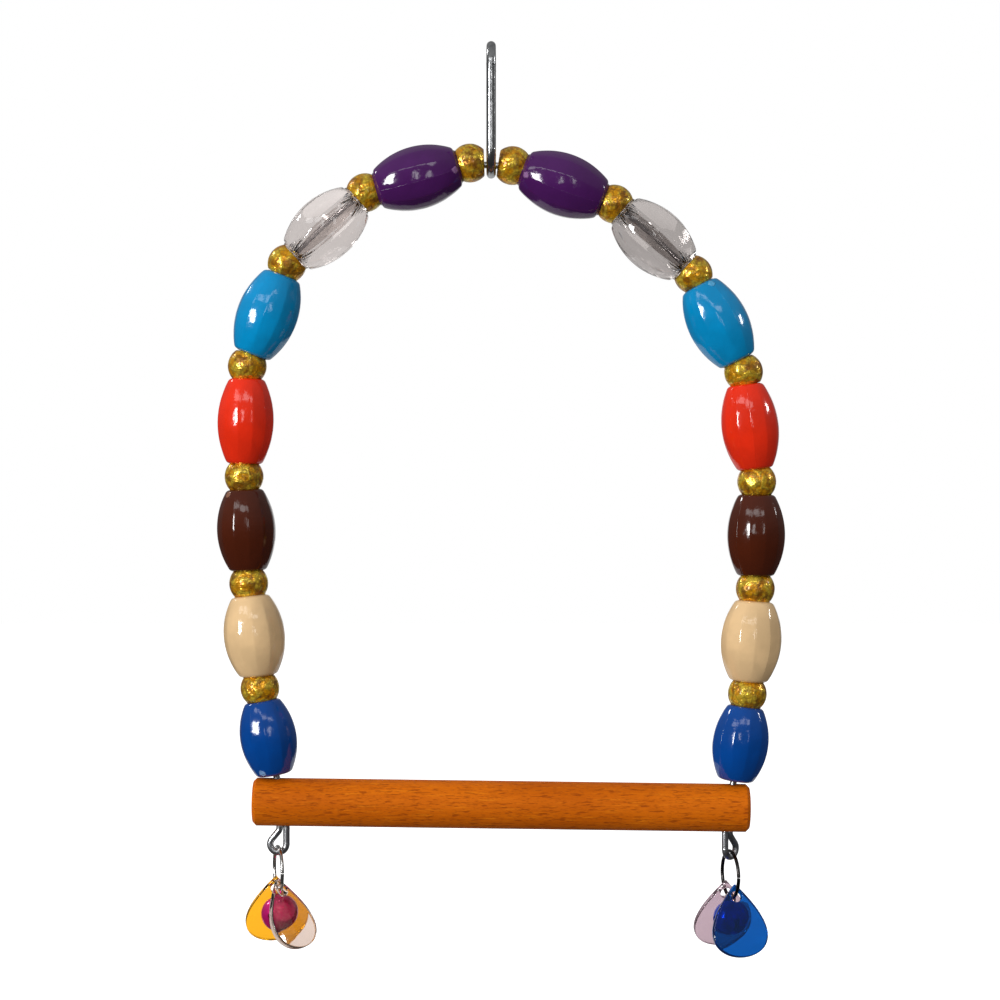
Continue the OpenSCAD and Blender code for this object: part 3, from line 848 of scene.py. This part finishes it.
# %% Finish: coloured acrylic
def coloured_acrylic(name, tint, through=1.0):
    material, tree, shader = new_finish(name)
    spot = object_place(tree)
    flow = noise(tree, spot, scale=220, detail=2)
    scuff = soft_step(tree, noise(tree, spot, scale=2400, detail=4, rough=0.7), 0.55, 0.8)
    set_inputs(tree, shader, {
        "Base Color": blend_colors(tree, flow, [c * 0.9 for c in tint], tint),
        "Roughness": weighed(tree, scuff, share=0.12, base=0.04),
        "Normal": bump(tree, flow, depth=0.00006, strength=0.4),
        "Transmission Weight": through, "IOR": 1.49})
    return material

charms = {
    "charm_front_left": ("rose", (0.66, 0.53, 0.46), 1.0),
    "charm_back_left": ("orange", (0.86, 0.40, 0.018), 1.0),
    "charm_front_right": ("blue", (0.001, 0.085, 0.36), 0.9),
    "charm_back_right": ("pink", (0.50, 0.37, 0.42), 0.9),
}
for node, (shade, tint, through) in charms.items():
    drop, size = rounded_charm(node)
    loose = finish_plate(drop.data)
    drop.data.materials.clear()
    drop.data.materials.append(coloured_acrylic(shade + "_acrylic", tint, through))
    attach(drop, node)
    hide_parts(node)
    print(node, "%.1f x %.1f x %.1f mm," % tuple(s * 1e3 for s in size), "open edges", loose)

# %% [markdown]
# ## Jingle bells
# The bells are pressed from thin sheet and coloured with a transparent lacquer, so metal shines
# through the colour. Plain metal would lack the glassy skin, and plain paint the glow below it,
# so a clear coat lies over a partly metallic colour.

# %% Finish: lacquered bells
def lacquer(name, color, shade):
    material, tree, shader = new_finish(name)
    cloud = noise(tree, object_place(tree), scale=500)
    set_inputs(tree, shader, {
        "Base Color": blend_colors(tree, soft_step(tree, cloud, 0.35, 0.65), color, shade),
        "Roughness": weighed(tree, cloud, share=0.12, base=0.18),
        "Normal": bump(tree, cloud, depth=0.00004, strength=0.4),
        "Metallic": 0.6, "Coat Weight": 0.8, "Coat Roughness": 0.05})
    return material

dress("bell_left", lacquer("magenta_lacquer", (1.0, 0.015, 0.30), (0.80, 0.010, 0.22)))
dress("bell_right", lacquer("navy_lacquer", (0.015, 0.12, 0.92), (0.010, 0.075, 0.66)))
print("bells dressed")

# %% [markdown]
# ## The white sheet
# The swing hangs in a room in front of a white sheet, which runs on below it as the floor.
# Lighting a sheet until it is white would bleach the beads, so it glows by itself for the camera
# and through clear plastic. In reflections only its far part shows, so that the undersides of
# dark beads keep a deep colour.

# %% Floor
floor_drop = 0.060          # how far the floor lies below the swing
floor_corners = ((-0.16, 0.10), (0.16, 0.10), (0.55, 2.0), (-0.55, 2.0))
sheet_glow = 0.78

def shown_white(tree, share_in_gloss):
    path = tree.nodes.new("ShaderNodeLightPath").outputs
    in_gloss = calc(tree, "MULTIPLY", share_in_gloss, path["Is Glossy Ray"])
    return calc(tree, "MAXIMUM", path["Is Camera Ray"],
                calc(tree, "MAXIMUM", path["Is Transmission Ray"], in_gloss))

def white_sheet():
    material, tree, shader = new_finish("white_sheet")
    far = soft_step(tree, split(tree, object_place(tree))["Y"], 0.9, 1.9)
    set_inputs(tree, shader, {
        "Base Color": opaque((0.92, 0.92, 0.92)), "Roughness": 0.9, "Specular IOR Level": 0.0,
        "Emission Color": opaque((1, 1, 1)),
        "Emission Strength": weighed(tree, shown_white(tree, far), share=sheet_glow)})
    return material

floor_z = cad_box[0][2] - floor_drop
floor_mesh = bpy.data.meshes.new("floor")
floor_mesh.from_pydata([(x, y, floor_z) for x, y in floor_corners], [], [(0, 1, 2, 3)])
floor_mesh.materials.append(white_sheet())
floor = put_in_scene("floor", floor_mesh)
print("floor at %.3f m" % floor_z)

# %% [markdown]
# ## The room
# The world is the room around the swing: brighter above than below, dimmer still in reflections,
# and white for the camera, through clear plastic, and for reflections of what lies straight
# behind. A picture of a room could light it too, but plain gradients are enough, because what the
# beads mirror clearly are the windows. The room in front stays dim, to keep dark beads deep.

# %% Sky
def plain_sky():
    world = bpy.data.worlds.new("sky")
    world.use_nodes = True
    tree = world.node_tree
    tree.nodes.clear()
    toward = split(tree, tree.nodes.new("ShaderNodeTexCoord").outputs["Generated"])
    room = soft_step(tree, toward["Z"], -0.5, 0.8, to_low=0.16, to_high=0.44)
    mirrored = soft_step(tree, toward["Z"], -0.3, 0.9, to_low=0.04, to_high=0.26)
    glossy = tree.nodes.new("ShaderNodeLightPath").outputs["Is Glossy Ray"]
    unseen = add_node(tree, "ShaderNodeMix", {0: glossy, 2: room, 3: mirrored})
    white = shown_white(tree, soft_step(tree, toward["Y"], 0.88, 1.0))
    strength = add_node(tree, "ShaderNodeMix", {0: white, 2: unseen.outputs[0], 3: 1.0})
    back = add_node(tree, "ShaderNodeBackground",
                    {"Color": opaque((1, 1, 1)), "Strength": strength.outputs[0]})
    add_node(tree, "ShaderNodeOutputWorld", {"Surface": back.outputs[0]})
    return world

bpy.context.scene.world = plain_sky()
print("sky ready")

# %% [markdown]
# ## The windows
# The beads mirror a tall window at the left, two narrow ones nearly behind the camera, and a row
# of roof panes. Each is an area lamp that looks at the swing, set by the direction and the angle
# it fills there, so its mirrored shape can be matched to the photograph's highlights. Two small
# lamps at the side and the back light the edges.

# %% Lamps
swing_middle = Vector((0, 0, -0.09))
lamp_distance = 1.3

def window(name, to_right, up, wide, high, glow):
    turn, rise = math.radians(to_right), math.radians(up)
    toward = Vector((math.sin(turn) * math.cos(rise), -math.cos(turn) * math.cos(rise),
                     math.sin(rise)))
    data = bpy.data.lights.new(name, "AREA")
    data.shape = "RECTANGLE"
    data.size, data.size_y = (2 * lamp_distance * math.tan(math.radians(a) / 2)
                              for a in (wide, high))
    data.energy = glow * math.pi * data.size * data.size_y
    lamp = put_in_scene(name, data)
    lamp.location = swing_middle + toward * lamp_distance
    lamp.rotation_euler = (-toward).to_track_quat("-Z", "Y").to_euler()

windows = [     # name, degrees to the right and up, degrees wide and high, glow
    ("tall_window", -44, 8, 11, 18, 30),
    ("second_window", -3, 9, 5, 13, 5),
    ("third_window", 17, 9, 5, 13, 4),
]
windows += [("skylight_%d" % pane, -52 + 18 * pane, 31 + 2 * (pane % 2), 12, 8, 3.0)
            for pane in range(5)]
windows += [("side_lamp", 92, 22, 5, 7, 30), ("back_lamp", -118, 34, 5, 5, 30)]
for row in windows:
    window(*row)
print("lamps:", len(windows))
